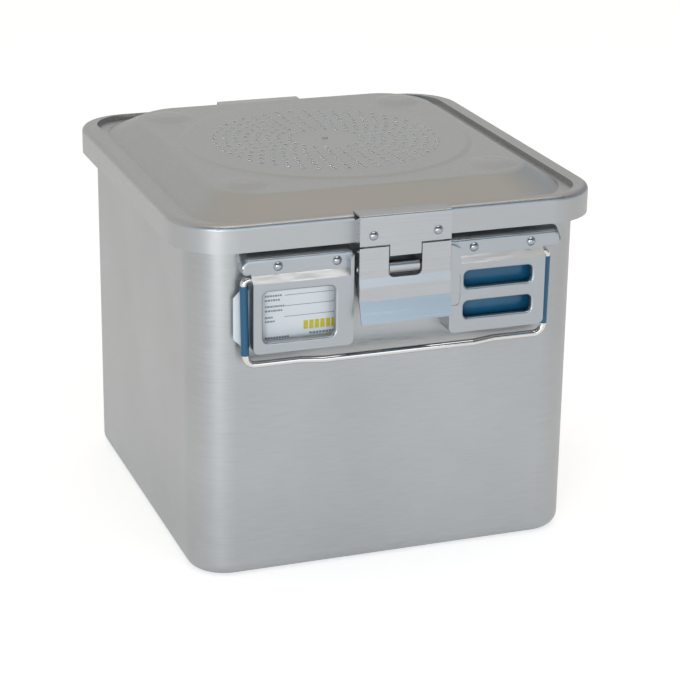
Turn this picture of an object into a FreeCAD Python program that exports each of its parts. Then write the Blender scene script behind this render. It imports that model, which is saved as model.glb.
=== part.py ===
import FreeCAD, Part
import math
import os
import Sketcher

# Half-size sterilization container: a deep-drawn aluminium tub, a perforated lid with
# a gasket and a filter, and on both ends a latch, a wire handle and two label holders.
# Millimetres. X runs along the front face, Y into the depth, Z up. The origin is the
# centre of the tub's underside.

SIZES = [
    ("tub_length", 280.0, "tub outside, left to right"),
    ("tub_depth", 285.0, "tub outside, front to rear"),
    ("tub_height", 247.5, "table to the top of the tub's rim"),
    ("tub_wall", 2.0, "drawn sheet of the tub"),
    ("tub_corner", 28.0, "outside radius of the upright corners"),
    ("tub_base_radius", 9.0, "outside radius round the base"),
    ("tub_rim_width", 7.3, "rim folded outwards from the wall"),
    ("gasket_gap", 0.3, "air between rim and gasket"),
    ("gasket_height", 3.2, "silicone seal in the lid"),
    ("gasket_width", 7.5, "silicone seal in the lid"),
    ("lid_overhang", 10.75, "lid past the tub on every side"),
    ("lid_sheet", 2.0, "drawn sheet of the lid"),
    ("lid_corner", 38.5, "outside radius of the lid's corners"),
    ("lid_edge_radius", 4.0, "top edge of the skirt"),
    ("lid_skirt", 19.4, "height of the skirt"),
    ("groove_depth", 3.4, "groove between rim and raised panel"),
    ("side_rim", 12.25, "flat rim at the left and right"),
    ("end_rim", 5.0, "flat rim at the front and rear"),
    ("side_groove", 4.5, "groove floor at the left and right"),
    ("end_groove", 1.0, "groove floor at the front and rear"),
    ("groove_corner", 30.0, "corner radius of the groove's outer wall"),
    ("panel_rise", 13.0, "raised panel above the groove floor"),
    ("side_ramp", 20.0, "run of the ramp at the left and right"),
    ("end_ramp", 26.0, "run of the ramp at the front and rear"),
    ("panel_foot_corner", 46.0, "corner radius at the foot of the ramp"),
    ("panel_corner", 36.0, "corner radius at the top of the ramp"),
    ("disc_radius", 106.0, "round field that holds the perforation"),
    ("disc_rise", 0.8, "round field above the panel"),
    ("disc_step", 4.0, "run of the step round the field"),
    ("panel_crease", 10.0, "rounding along the top of the ramp"),
    ("hole_radius", 1.3, "perforation"),
    ("first_ring", 26.7, "innermost ring of the perforation"),
    ("ring_pitch", 7.7, "from ring to ring"),
    ("rings", 8.0, "rings of holes"),
    ("first_count", 20.0, "holes in the innermost ring"),
    ("stud_rise", 2.0, "stacking studs above the panel"),
    ("stud_radius", 18.0, "stacking studs in the lid's corners"),
    ("stud_flat", 8.0, "flat top of a stud"),
    ("stud_across", 182.0, "stacking studs, left to right"),
    ("stud_along", 186.0, "stacking studs, front to rear"),
    ("catch_width", 65.0, "catch plate on the lid, and the lever under it"),
    ("catch_sheet", 1.2, "stainless sheet of catch, lever and latch base"),
    ("catch_reach", 9.25, "catch plate in front of the skirt"),
    ("catch_drop", 0.5, "catch plate below the skirt"),
    ("tongue_width", 22.4, "tongue under the catch plate"),
    ("tongue_drop", 8.1, "tongue under the catch plate"),
    ("ledge_reach", 0.5, "ledge folded in at the catch plate's foot"),
    ("catch_rivet_spacing", 45.8, "rivets of the catch plate"),
    ("catch_rivet_rise", 7.0, "rivets above the catch plate's foot"),
    ("latch_gap", 1.3, "slit between catch plate and lever"),
    ("lever_straight", 21.2, "lever, top edge to first bend"),
    ("lever_step", 6.0, "lever, first bend to second bend"),
    ("lever_step_out", 0.8, "second bend in front of the first"),
    ("lever_flat", 9.5, "lever, second bend to the finger tab"),
    ("tab_drop", 14.5, "height of the finger tab"),
    ("tab_flare", 5.2, "finger tab swings out"),
    ("lever_flange", 6.8, "depth of the lever's side flanges"),
    ("notch_width", 23.8, "notch in the lever's top edge"),
    ("notch_depth", 21.7, "notch in the lever's top edge"),
    ("notch_radius", 4.0, "rounded foot of the notch"),
    ("pivot_drop", 15.7, "lever pin below the lever's top edge"),
    ("pivot_inset", 5.3, "lever pin behind the lever's face"),
    ("pin_radius", 2.0, "lever pin"),
    ("pin_clearance", 0.05, "running clearance of the lever pin"),
    ("barrel_radius", 4.3, "rolled knuckle of the latch base"),
    ("barrel_width", 21.6, "rolled knuckle of the latch base"),
    ("hook_inset", 2.9, "hook strip behind the catch sheet"),
    ("hook_sheet", 1.0, "hook strip"),
    ("hook_nose", 1.3, "nose of the hook"),
    ("hook_inner", 14.0, "hook strip starts this far from the middle"),
    ("hook_outer", 29.0, "hook strip ends this far from the middle"),
    ("hook_lift", 0.3, "nose above the ledge"),
    ("plate_inner", 34.5, "label holder starts this far from the middle"),
    ("plate_outer", 104.3, "label holder ends this far from the middle"),
    ("plate_sheet", 1.2, "sheet of the label holders"),
    ("plate_reach", 15.5, "holder's face in front of the tub's wall"),
    ("strip_reach", 11.0, "riveted strip in front of the tub's wall"),
    ("flange_drop", 12.5, "holder's top flange at the wall, below the rim"),
    ("strip_top_drop", 16.0, "top of the riveted strip below the rim"),
    ("strip_foot_drop", 27.0, "foot of the riveted strip below the rim"),
    ("face_top_drop", 31.5, "top of the holder's face below the rim"),
    ("face_foot_drop", 80.0, "foot of the holder's face below the rim"),
    ("foot_gap", 1.0, "holder's foot flange stops short of the wall"),
    ("fold_radius", 2.0, "folds of the holder, outside"),
    ("card_flank", 2.4, "unpressed edge at the card holder's inner end"),
    ("tag_flank", 7.6, "unpressed edge at the tag holder's inner end"),
    ("flank_fall", 3.4, "slant of the flank's top"),
    ("thumb_recess", 0.5, "shallow recess in the tag holder's inner edge"),
    ("card_ear", 6.2, "ear past the card holder's outer edge"),
    ("tag_ear", 13.2, "ear past the tag holder's outer edge"),
    ("ear_radius", 5.5, "upper corner of the ear"),
    ("ear_foot_radius", 4.0, "lower corner of the ear"),
    ("plate_rivet_drop", 21.5, "plate rivets below the rim"),
    ("card_rivet_inner", 45.0, "card holder, inner rivet"),
    ("card_rivet_outer", 86.0, "card holder, outer rivet"),
    ("tag_rivet_inner", 53.0, "tag holder, inner rivet"),
    ("tag_rivet_outer", 95.0, "tag holder, outer rivet"),
    ("rivet_radius", 1.6, "shank of every rivet"),
    ("rivet_head", 3.3, "dome radius of every rivet"),
    ("rivet_dome", 2.0, "dome height of every rivet"),
    ("rivet_tail", 2.6, "radius of the head inside the tub or lid"),
    ("tail_height", 0.8, "height of the head inside the tub or lid"),
    ("rivet_clearance", 0.05, "round the shanks"),
    ("sleeve_radius", 3.0, "spacer sleeves round the rivets"),
    ("window_outer", 97.5, "card window, outer edge from the middle"),
    ("window_inner", 47.2, "card window, inner edge from the middle"),
    ("window_top_drop", 37.5, "card window below the rim"),
    ("window_foot_drop", 72.5, "foot of the card window below the rim"),
    ("window_radius", 4.0, "corners of the card window"),
    ("slot_inner", 45.0, "tag slots, inner edge from the middle"),
    ("slot_outer", 95.0, "tag slots, outer edge from the middle"),
    ("slot_height", 11.8, "tag slots"),
    ("upper_slot_drop", 37.0, "top of the upper slot below the rim"),
    ("slot_pitch", 21.5, "upper slot to lower slot"),
    ("slot_radius", 3.5, "corners of the tag slots"),
    ("lip_depth", 2.2, "edges pressed in round window and slots"),
    ("lip_radius", 1.8, "rounding of the pressed edges"),
    ("card_reach", 5.0, "card in front of the tub's wall"),
    ("card_thickness", 0.6, "printed card"),
    ("tag_thickness", 1.0, "coloured tag"),
    ("card_height", 38.5, "card and tag"),
    ("card_top_drop", 38.0, "top of the card below the rim"),
    ("card_outer", 115.0, "card's outer end from the middle"),
    ("card_inner", 42.0, "card's inner end from the middle"),
    ("card_chamfer", 5.0, "cut corners at the card's outer end"),
    ("guide_sheet", 0.8, "channel behind the card"),
    ("guide_lip", 0.6, "channel lips over the card's edge"),
    ("guide_play", 0.3, "play of the card in its channel"),
    ("guide_outer", 102.0, "channel's outer end from the middle"),
    ("guide_inner", 41.0, "channel's inner end from the middle"),
    ("wire_radius", 2.4, "handle wire"),
    ("wire_clearance", 0.08, "round the handle's pivots"),
    ("handle_gap", 1.7, "air between the holder's outer edge and the sleeve"),
    ("handle_reach", 7.7, "handle pivots in front of the tub's wall"),
    ("handle_lean", 0.5, "handle bar in front of its pivots"),
    ("handle_pivot_drop", 30.0, "handle pivots below the rim"),
    ("handle_drop", 59.5, "handle bar below its pivots"),
    ("handle_bend", 7.0, "lower bends of the handle"),
    ("handle_taper", 1.0, "legs come together towards the bar"),
    ("pivot_bend", 3.4, "upper bends of the handle"),
    ("pivot_stub", 7.3, "ends of the wire inside the holder's outer edge"),
    ("grip_inner", 54.0, "grip ends its outward jog"),
    ("grip_outer", 70.0, "grip starts its outward jog"),
    ("grip_jog", 4.0, "grip stands out"),
    ("grip_bend", 6.0, "bends of the grip's jog"),
    ("tube_radius", 2.7, "coloured sleeve on the handle's legs"),
    ("tube_top_drop", 4.0, "sleeve starts below the pivots"),
    ("tube_gap", 0.2, "sleeve ends above the lower bend"),
    ("base_half", 27.0, "latch base plate, half its width"),
    ("base_drop", 52.0, "foot of the latch base below the rim"),
    ("base_sheet", 1.5, "latch base plate"),
    ("base_rivet_half", 20.0, "latch base rivets from the middle"),
    ("base_rivet_drop", 45.0, "latch base rivets below the rim"),
    ("spring_inner", 12.6, "torsion spring starts from the middle"),
    ("spring_coils", 6.0, "close-wound coils on each side"),
    ("spring_wire", 1.2, "torsion spring wire"),
    ("spring_bore", 2.3, "torsion spring, inner radius"),
    ("spring_leg", 14.0, "leg on the latch base"),
    ("filter_play", 2.8, "paper filter inside the retainer's rim"),
    ("filter_thickness", 0.6, "paper filter"),
    ("filter_gap", 1.0, "filter below the lid's sheet"),
    ("retainer_radius", 96.0, "filter retainer"),
    ("retainer_sheet", 1.2, "filter retainer"),
    ("retainer_rim", 1.6, "raised rim of the filter retainer"),
    ("retainer_slots", 12.0, "openings round the filter retainer"),
    ("post_radius", 3.0, "post in the middle of the lid"),
    ("post_length", 13.0, "post in the middle of the lid"),
    ("post_head", 2.2, "riveted end of the post on top of the lid"),
    ("knob_radius", 14.0, "turn knob under the retainer"),
    ("knob_height", 4.0, "turn knob under the retainer"),
    ("knob_wing", 3.4, "finger wing across the knob"),
    ("knob_gap", 0.3, "knob below the retainer"),
]


class Length:
    """A number that knows the spreadsheet expression it comes from."""

    def __init__(self, value, text=None):
        self.value = float(value)
        self.text = text or repr(float(value))

    def join(self, sign, other, value):
        return Length(value, "(%s %s %s)" % (self.text, sign, other.text))

    def __add__(self, other):
        other = length(other)
        return self.join("+", other, self.value + other.value)

    def __sub__(self, other):
        other = length(other)
        return self.join("-", other, self.value - other.value)

    def __mul__(self, other):
        other = length(other)
        return self.join("*", other, self.value * other.value)

    def __truediv__(self, other):
        other = length(other)
        return self.join("/", other, self.value / other.value)

    def __radd__(self, other):
        return length(other) + self

    def __rsub__(self, other):
        return length(other) - self

    def __rmul__(self, other):
        return length(other) * self

    def __neg__(self):
        return length(0) - self


def length(number):
    return number if isinstance(number, Length) else Length(number)


class Sheet:
    """The spreadsheet: each driving size by its alias."""

    def __init__(self, document):
        self.cells = document.addObject("Spreadsheet::Sheet", "Sizes")
        for row, (name, value, note) in enumerate(SIZES, start=1):
            self.cells.set("A%d" % row, name)
            self.cells.set("B%d" % row, str(value))
            self.cells.set("C%d" % row, note)
            self.cells.setAlias("B%d" % row, name)
        document.recompute()

    def __getattr__(self, name):
        return Length(getattr(self.cells, name), "Sizes." + name)


doc = FreeCAD.newDocument("SterilizationContainer")
S = Sheet(doc)
ZERO = length(0)
UP = FreeCAD.Vector(0, 0, 1)


# Helpers for sketches and PartDesign features

def new_body(label):
    body = doc.addObject("PartDesign::Body", label)
    body.Label = label
    return body


def plane_sketch(body, role, offset=ZERO):
    """A sketch on one of the body's own planes, moved along the plane's normal."""
    plane = [item for item in body.Origin.OriginFeatures if item.Role == role][0]
    sketch = body.newObject("Sketcher::SketchObject", body.Label + "_sketch")
    sketch.AttachmentSupport = (plane, [""])
    sketch.MapMode = "FlatFace"
    sketch.setExpression("AttachmentOffset.Base.z", offset.text)
    return sketch


def tie(sketch, kind, edge, point, size):
    index = sketch.addConstraint(Sketcher.Constraint(kind, -1, 1, edge, point, size.value))
    sketch.setExpression("Constraints[%d]" % index, size.text)


def place_point(sketch, edge, point, across, along):
    tie(sketch, "DistanceX", edge, point, across)
    tie(sketch, "DistanceY", edge, point, along)


def draw_outline(sketch, points):
    """A closed polygon whose corners are tied to the sizes."""
    points = [(length(across), length(along)) for across, along in points]
    corners = [FreeCAD.Vector(across.value, along.value, 0) for across, along in points]
    first = sketch.GeometryCount
    count = len(corners)
    for index in range(count):
        sketch.addGeometry(Part.LineSegment(corners[index], corners[(index + 1) % count]))
    for index in range(count):
        following = first + (index + 1) % count
        sketch.addConstraint(Sketcher.Constraint("Coincident", first + index, 2, following, 1))
        place_point(sketch, first + index, 1, *points[index])


def draw_box(sketch, low_across, low_along, high_across, high_along):
    draw_outline(sketch, [(low_across, low_along), (high_across, low_along),
                          (high_across, high_along), (low_across, high_along)])


def draw_circle(sketch, across, along, radius):
    across, along = length(across), length(along)
    centre = FreeCAD.Vector(across.value, along.value, 0)
    edge = sketch.addGeometry(Part.Circle(centre, UP, radius.value))
    place_point(sketch, edge, 3, across, along)
    index = sketch.addConstraint(Sketcher.Constraint("Radius", edge, radius.value))
    sketch.setExpression("Constraints[%d]" % index, radius.text)


def draw_rounded(sketch, half_across, half_along, radius, middle=(ZERO, ZERO)):
    """A rounded rectangle: four arcs and the four lines that are tangent to them."""
    mid_x, mid_y = middle
    turns = [(1, 1, 0), (-1, 1, 90), (-1, -1, 180), (1, -1, 270)]
    arcs, lines = [], []
    for side_x, side_y, start in turns:
        across = mid_x + side_x * (half_across - radius)
        along = mid_y + side_y * (half_along - radius)
        circle = Part.Circle(FreeCAD.Vector(across.value, along.value, 0), UP, radius.value)
        arc = Part.ArcOfCircle(circle, math.radians(start), math.radians(start + 90))
        edge = sketch.addGeometry(arc)
        place_point(sketch, edge, 3, across, along)
        index = sketch.addConstraint(Sketcher.Constraint("Radius", edge, radius.value))
        sketch.setExpression("Constraints[%d]" % index, radius.text)
        arcs.append((edge, arc))
    for index, (edge, arc) in enumerate(arcs):
        follower, next_arc = arcs[(index + 1) % 4]
        line = sketch.addGeometry(Part.LineSegment(arc.EndPoint, next_arc.StartPoint))
        lines.append((edge, line, follower))
    for edge, line, follower in lines:
        sketch.addConstraint(Sketcher.Constraint("Tangent", edge, 2, line, 1))
        sketch.addConstraint(Sketcher.Constraint("Tangent", line, 2, follower, 1))


def extrude(body, kind, sketch, size, backwards=False):
    feature = body.newObject("PartDesign::" + kind, body.Label + "_" + kind.lower())
    feature.Profile = sketch
    feature.setExpression("Length", length(size).text)
    feature.Reversed = backwards
    sketch.Visibility = False
    doc.recompute()
    return feature


def pad(body, sketch, size, backwards=False):
    return extrude(body, "Pad", sketch, size, backwards)


def pocket(body, sketch, size, backwards=False):
    return extrude(body, "Pocket", sketch, size, backwards)


def loft(body, kind, lower, upper):
    feature = body.newObject("PartDesign::" + kind, body.Label + "_loft")
    feature.Profile = lower
    feature.Sections = [upper]
    feature.Ruled = True
    doc.recompute()
    return feature


def round_edges(body, chosen, radius, kind="Fillet"):
    """Rounds the edges of the body's last feature for which chosen(edge) is true."""
    base = body.Tip
    names = ["Edge%d" % (index + 1) for index, edge in enumerate(base.Shape.Edges) if chosen(edge)]
    feature = body.newObject("PartDesign::" + kind, body.Label + "_" + kind.lower())
    feature.Base = (base, names)
    feature.setExpression("Radius" if kind == "Fillet" else "Size", radius.text)
    doc.recompute()
    return feature


def is_upright(edge):
    box = edge.BoundBox
    return box.ZLength > 0.5 and box.XLength < 1e-6 and box.YLength < 1e-6


def runs_along_y(edge):
    box = edge.BoundBox
    return box.YLength > 0.5 and box.XLength < 1e-6 and box.ZLength < 1e-6


def runs_along_x(edge):
    box = edge.BoundBox
    return box.XLength > 0.5 and box.YLength < 1e-6 and box.ZLength < 1e-6


def near(value, size):
    return abs(value - length(size).value) < 1e-4


def at_height(edge, size):
    return near(edge.BoundBox.ZMin, size) and near(edge.BoundBox.ZMax, size)


def add_solids(label, shapes):
    """One node that is a group of plain solids."""
    feature = doc.addObject("Part::Feature", label)
    feature.Label = label
    feature.Shape = shapes[0] if len(shapes) == 1 else Part.makeCompound(shapes)
    return feature


# Heights and distances that several pieces share

RIM_TOP = S.tub_height
GASKET_FOOT = RIM_TOP + S.gasket_gap
RIM_CEILING = GASKET_FOOT + S.gasket_height
GROOVE_FLOOR = RIM_CEILING + S.lid_sheet
LID_RIM_TOP = GROOVE_FLOOR + S.groove_depth
PANEL_TOP = GROOVE_FLOOR + S.panel_rise
PANEL_CEILING = PANEL_TOP - S.lid_sheet
SKIRT_FOOT = LID_RIM_TOP - S.lid_skirt

WALL = S.tub_depth / 2
HALF_LENGTH = S.tub_length / 2
LID_HALF_X = HALF_LENGTH + S.lid_overhang
LID_HALF_Y = WALL + S.lid_overhang

CATCH_FACE = LID_HALF_Y + S.catch_reach
CATCH_BACK = CATCH_FACE - S.catch_sheet
CATCH_FOOT = SKIRT_FOOT - S.catch_drop
CATCH_TOP = LID_RIM_TOP + S.catch_sheet
LEDGE_TOP = CATCH_FOOT + S.catch_sheet
HALF_CATCH = S.catch_width / 2

LEVER_TOP = CATCH_FOOT - S.latch_gap
PIVOT_Y = CATCH_FACE - S.pivot_inset
PIVOT_Z = LEVER_TOP - S.pivot_drop
HOOK_FACE = CATCH_BACK - S.hook_inset + S.hook_sheet / 5
NOSE_FOOT = LEDGE_TOP + S.hook_lift
NOSE_TOP = NOSE_FOOT + S.catch_sheet

FACE = WALL + S.plate_reach
STRIP = WALL + S.strip_reach
STRIP_TOP = RIM_TOP - S.strip_top_drop
STRIP_FOOT = RIM_TOP - S.strip_foot_drop
FACE_TOP = RIM_TOP - S.face_top_drop
FACE_FOOT = RIM_TOP - S.face_foot_drop

HANDLE_HALF = S.plate_outer + S.handle_gap + S.tube_radius
HANDLE_Y = WALL + S.handle_reach
HANDLE_Z = RIM_TOP - S.handle_pivot_drop
CARD_FACE = WALL + S.card_reach
CARD_TOP = RIM_TOP - S.card_top_drop
CARD_FOOT = CARD_TOP - S.card_height

PLATE_RIVET_Z = RIM_TOP - S.plate_rivet_drop
BASE_RIVET_Z = RIM_TOP - S.base_rivet_drop
CATCH_RIVET_Z = CATCH_FOOT + S.catch_rivet_rise
CATCH_RIVETS = (-S.catch_rivet_spacing / 2, S.catch_rivet_spacing / 2)
PLATE_RIVETS = (-S.card_rivet_outer, -S.card_rivet_inner, S.tag_rivet_inner, S.tag_rivet_outer)
BASE_RIVETS = (-S.base_rivet_half, S.base_rivet_half)

# The rear end is the front end turned half a turn about the upright axis
ENDS = [("front", 0.0), ("rear", 180.0)]


def turn(feature, degrees):
    feature.Placement = FreeCAD.Placement(FreeCAD.Vector(), FreeCAD.Rotation(UP, degrees))


# Tub

def cut_rivet_holes(body, places, height, depth_from, depth_to):
    """Round holes for rivets, drilled in from the front face."""
    sketch = plane_sketch(body, "XZ_Plane", depth_from)
    for across in places:
        draw_circle(sketch, across, height, S.rivet_radius + S.rivet_clearance)
    return pocket(body, sketch, depth_from - depth_to)


def make_tub():
    body = new_body("tub")
    walls = plane_sketch(body, "XY_Plane")
    draw_rounded(walls, HALF_LENGTH, WALL, S.tub_corner)
    pad(body, walls, RIM_TOP - S.tub_wall / 2)
    rim = plane_sketch(body, "XY_Plane", RIM_TOP - S.tub_wall)
    draw_rounded(rim, HALF_LENGTH + S.tub_rim_width, WALL + S.tub_rim_width,
                 S.tub_corner + S.tub_rim_width)
    pad(body, rim, S.tub_wall)
    inside = plane_sketch(body, "XY_Plane", RIM_TOP)
    draw_rounded(inside, HALF_LENGTH - S.tub_wall, WALL - S.tub_wall, S.tub_corner - S.tub_wall)
    pocket(body, inside, RIM_TOP - S.tub_wall)
    round_edges(body, lambda edge: at_height(edge, S.tub_wall), S.tub_base_radius - S.tub_wall)
    round_edges(body, lambda edge: at_height(edge, 0), S.tub_base_radius)
    for places, height in ((PLATE_RIVETS, PLATE_RIVET_Z), (BASE_RIVETS, BASE_RIVET_Z)):
        cut_rivet_holes(body, places, height, WALL + 1, WALL - S.tub_wall - 1)
        mirrored = [-across for across in places]
        cut_rivet_holes(body, mirrored, height, S.tub_wall + 1 - WALL, -WALL - 1)
    return body


# Lid, gasket, filter and retainer

def raise_round(body, across, along, foot_radius, top_radius, rise):
    """A round field on the panel with a sloping edge."""
    foot = plane_sketch(body, "XY_Plane", PANEL_TOP)
    draw_circle(foot, across, along, foot_radius)
    top = plane_sketch(body, "XY_Plane", PANEL_TOP + rise)
    draw_circle(top, across, along, top_radius)
    loft(body, "AdditiveLoft", foot, top)


def perforate(pressing):
    """Rings of six-sided holes, each ring with four holes more than the last."""
    foot, depth = PANEL_CEILING.value - 1, (S.lid_sheet + S.disc_rise).value + 2
    half = S.hole_radius.value
    prisms = []
    for ring in range(int(S.rings.value)):
        radius = (S.first_ring + ring * S.ring_pitch).value
        count = int(S.first_count.value) + 4 * ring
        corners = [FreeCAD.Vector(radius + half * math.cos(math.tau * corner / 6),
                                  half * math.sin(math.tau * corner / 6), foot) for corner in range(7)]
        prism = Part.Face(Part.makePolygon(corners)).extrude(UP * depth)
        prisms += [prism.rotated(FreeCAD.Vector(), UP, 360.0 * index / count) for index in range(count)]
    lid = doc.addObject("Part::Cut", "lid")
    lid.Base = pressing
    lid.Tool = add_solids("lid_holes", prisms)
    doc.recompute()


def make_lid():
    body = new_body("lid_pressing")
    skirt = plane_sketch(body, "XY_Plane", SKIRT_FOOT)
    draw_rounded(skirt, LID_HALF_X, LID_HALF_Y, S.lid_corner)
    pad(body, skirt, S.lid_skirt)
    round_edges(body, lambda edge: at_height(edge, LID_RIM_TOP), S.lid_edge_radius)

    groove_x = LID_HALF_X - S.side_rim
    groove_y = LID_HALF_Y - S.end_rim
    groove = plane_sketch(body, "XY_Plane", LID_RIM_TOP)
    draw_rounded(groove, groove_x, groove_y, S.groove_corner)
    pocket(body, groove, S.groove_depth)

    foot_x = groove_x - S.side_groove
    foot_y = groove_y - S.end_groove
    foot = plane_sketch(body, "XY_Plane", GROOVE_FLOOR)
    draw_rounded(foot, foot_x, foot_y, S.panel_foot_corner)
    top = plane_sketch(body, "XY_Plane", PANEL_TOP)
    draw_rounded(top, foot_x - S.side_ramp, foot_y - S.end_ramp, S.panel_corner)
    loft(body, "AdditiveLoft", foot, top)
    round_edges(body, lambda edge: at_height(edge, PANEL_TOP), S.panel_crease)

    raise_round(body, ZERO, ZERO, S.disc_radius, S.disc_radius - S.disc_step, S.disc_rise)
    for side_x in (-1, 1):
        for side_y in (-1, 1):
            raise_round(body, side_x * S.stud_across / 2, side_y * S.stud_along / 2,
                        S.stud_radius, S.stud_flat, S.stud_rise)
    round_edges(body, lambda edge: at_height(edge, PANEL_TOP + S.stud_rise), S.stud_radius)

    hollow = plane_sketch(body, "XY_Plane", SKIRT_FOOT)
    draw_rounded(hollow, LID_HALF_X - S.lid_sheet, LID_HALF_Y - S.lid_sheet,
                 S.lid_corner - S.lid_sheet)
    pocket(body, hollow, RIM_CEILING - SKIRT_FOOT, True)

    # The hollow under the panel follows the ramp, half a sheet further in
    inset = S.lid_sheet / 2
    low = plane_sketch(body, "XY_Plane", RIM_CEILING)
    draw_rounded(low, foot_x - inset, foot_y - inset, S.panel_foot_corner - inset)
    high = plane_sketch(body, "XY_Plane", PANEL_CEILING)
    draw_rounded(high, foot_x - S.side_ramp - inset, foot_y - S.end_ramp - inset,
                 S.panel_corner - inset)
    loft(body, "SubtractiveLoft", low, high)

    # Behind each catch plate the skirt is cut away for the swing of the hooks
    cut_half = S.hook_outer + 1.3
    gap = plane_sketch(body, "XZ_Plane", LID_HALF_Y + 1)
    draw_box(gap, -cut_half, SKIRT_FOOT - 1, cut_half, NOSE_TOP + 1.8)
    pocket(body, gap, S.lid_sheet + 2)
    rear_gap = plane_sketch(body, "XZ_Plane", S.lid_sheet + 1 - LID_HALF_Y)
    draw_box(rear_gap, -cut_half, SKIRT_FOOT - 1, cut_half, NOSE_TOP + 1.8)
    pocket(body, rear_gap, S.lid_sheet + 2)

    outside, inside = LID_HALF_Y + 1, LID_HALF_Y - S.lid_sheet - 1
    cut_rivet_holes(body, CATCH_RIVETS, CATCH_RIVET_Z, outside, inside)
    cut_rivet_holes(body, CATCH_RIVETS, CATCH_RIVET_Z, -inside, -outside)
    centre = plane_sketch(body, "XY_Plane", PANEL_TOP + S.disc_rise)
    draw_circle(centre, 0, 0, S.rivet_radius + S.rivet_clearance)
    pocket(body, centre, S.lid_sheet + S.disc_rise)
    perforate(body)


def make_gasket():
    body = new_body("lid_gasket")
    outer_x = LID_HALF_X - S.lid_sheet - 0.25
    outer_y = LID_HALF_Y - S.lid_sheet - 0.25
    radius = S.lid_corner - S.lid_sheet - 0.25
    sketch = plane_sketch(body, "XY_Plane", GASKET_FOOT)
    draw_rounded(sketch, outer_x, outer_y, radius)
    draw_rounded(sketch, outer_x - S.gasket_width, outer_y - S.gasket_width,
                 radius - S.gasket_width)
    pad(body, sketch, S.gasket_height)
    return body


def make_filter_post():
    """A post riveted through the middle of the lid, with a flat head on top."""
    body = new_body("filter_post")
    head_foot = PANEL_TOP + S.disc_rise
    profile = plane_sketch(body, "XZ_Plane")
    draw_outline(profile, [
        (0, PANEL_CEILING - S.post_length), (S.post_radius - 0.6, PANEL_CEILING - S.post_length),
        (S.post_radius, PANEL_CEILING - S.post_length + 0.6), (S.post_radius, PANEL_CEILING),
        (S.rivet_radius, PANEL_CEILING), (S.rivet_radius, head_foot),
        (S.post_head, head_foot), (S.post_head, head_foot + 0.3),
        (S.post_head - 0.5, head_foot + 0.6), (0, head_foot + 0.6)])
    return revolve(body, profile, "V_Axis")


def revolve(body, profile, axis):
    feature = body.newObject("PartDesign::Revolution", body.Label + "_turned")
    feature.Profile = profile
    feature.ReferenceAxis = (profile, [axis])
    feature.Angle = 360.0
    doc.recompute()
    return body


FILTER_TOP = PANEL_CEILING - S.filter_gap
RETAINER_TOP = FILTER_TOP - S.filter_thickness
RETAINER_FOOT = RETAINER_TOP - S.retainer_sheet
KNOB_TOP = RETAINER_FOOT - S.knob_gap


def make_filter():
    body = new_body("filter_sheet")
    sketch = plane_sketch(body, "XY_Plane", RETAINER_TOP)
    draw_circle(sketch, 0, 0, S.retainer_radius - S.retainer_sheet - S.filter_play)
    draw_circle(sketch, 0, 0, S.post_radius + 0.5)
    pad(body, sketch, S.filter_thickness)
    return body


def make_retainer():
    """A disc with a raised rim and long openings like the spokes of a wheel."""
    body = new_body("filter_retainer")
    disc = plane_sketch(body, "XY_Plane", RETAINER_FOOT)
    draw_circle(disc, 0, 0, S.retainer_radius)
    draw_circle(disc, 0, 0, S.post_radius + S.rivet_clearance)
    pad(body, disc, S.retainer_sheet)
    rim = plane_sketch(body, "XY_Plane", RETAINER_TOP)
    draw_circle(rim, 0, 0, S.retainer_radius)
    draw_circle(rim, 0, 0, S.retainer_radius - S.retainer_sheet)
    pad(body, rim, S.retainer_rim)
    slot = plane_sketch(body, "XY_Plane", RETAINER_TOP)
    draw_outline(slot, [(S.retainer_radius * 0.3, -4), (S.retainer_radius * 0.85, -9),
                        (S.retainer_radius * 0.85, 9), (S.retainer_radius * 0.3, 4)])
    cut = pocket(body, slot, S.retainer_sheet)
    pattern = body.newObject("PartDesign::PolarPattern", "retainer_openings")
    pattern.Originals = [cut]
    pattern.Axis = (slot, ["N_Axis"])
    pattern.Angle = 360.0
    pattern.setExpression("Occurrences", S.retainer_slots.text)
    body.Tip = pattern
    doc.recompute()
    return body


def make_knob():
    """A round turn knob with a finger wing across its face."""
    body = new_body("retainer_knob")
    disc = plane_sketch(body, "XY_Plane", KNOB_TOP - S.knob_height)
    draw_circle(disc, 0, 0, S.knob_radius)
    draw_circle(disc, 0, 0, S.post_radius + S.pin_clearance)
    pad(body, disc, S.knob_height)
    wing = plane_sketch(body, "XY_Plane", KNOB_TOP - S.knob_height)
    for side in (-1, 1):
        draw_box(wing, side * (S.post_radius + 2) if side > 0 else 1 - S.knob_radius,
                 -S.knob_wing / 2, S.knob_radius - 1 if side > 0 else -S.post_radius - 2,
                 S.knob_wing / 2)
    pad(body, wing, S.knob_height, True)
    return body


# Rivets and spacer sleeves

def rivet_solid(across, height, head_face, tail_face):
    """A rivet along Y: a dome outside at head_face, a flat head inside at tail_face."""
    head, tail = head_face.value, tail_face.value
    radius, dome = S.rivet_head.value, S.rivet_dome.value
    ball = (radius ** 2 + dome ** 2) / (2 * dome)
    front = FreeCAD.Vector(across.value, -head, height.value)
    towards_back = FreeCAD.Vector(0, 1, 0)
    sphere = Part.makeSphere(ball, front + FreeCAD.Vector(0, ball - dome, 0))
    reach = Part.makeCylinder(radius + 1, dome + 1, front - FreeCAD.Vector(0, dome + 1, 0), towards_back)
    shank = Part.makeCylinder(S.rivet_radius.value, head - tail, front, towards_back)
    back = FreeCAD.Vector(across.value, -tail, height.value)
    flat = Part.makeCylinder(S.rivet_tail.value, S.tail_height.value, back, towards_back)
    return sphere.common(reach).fuse([shank, flat]).removeSplitter()


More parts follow.
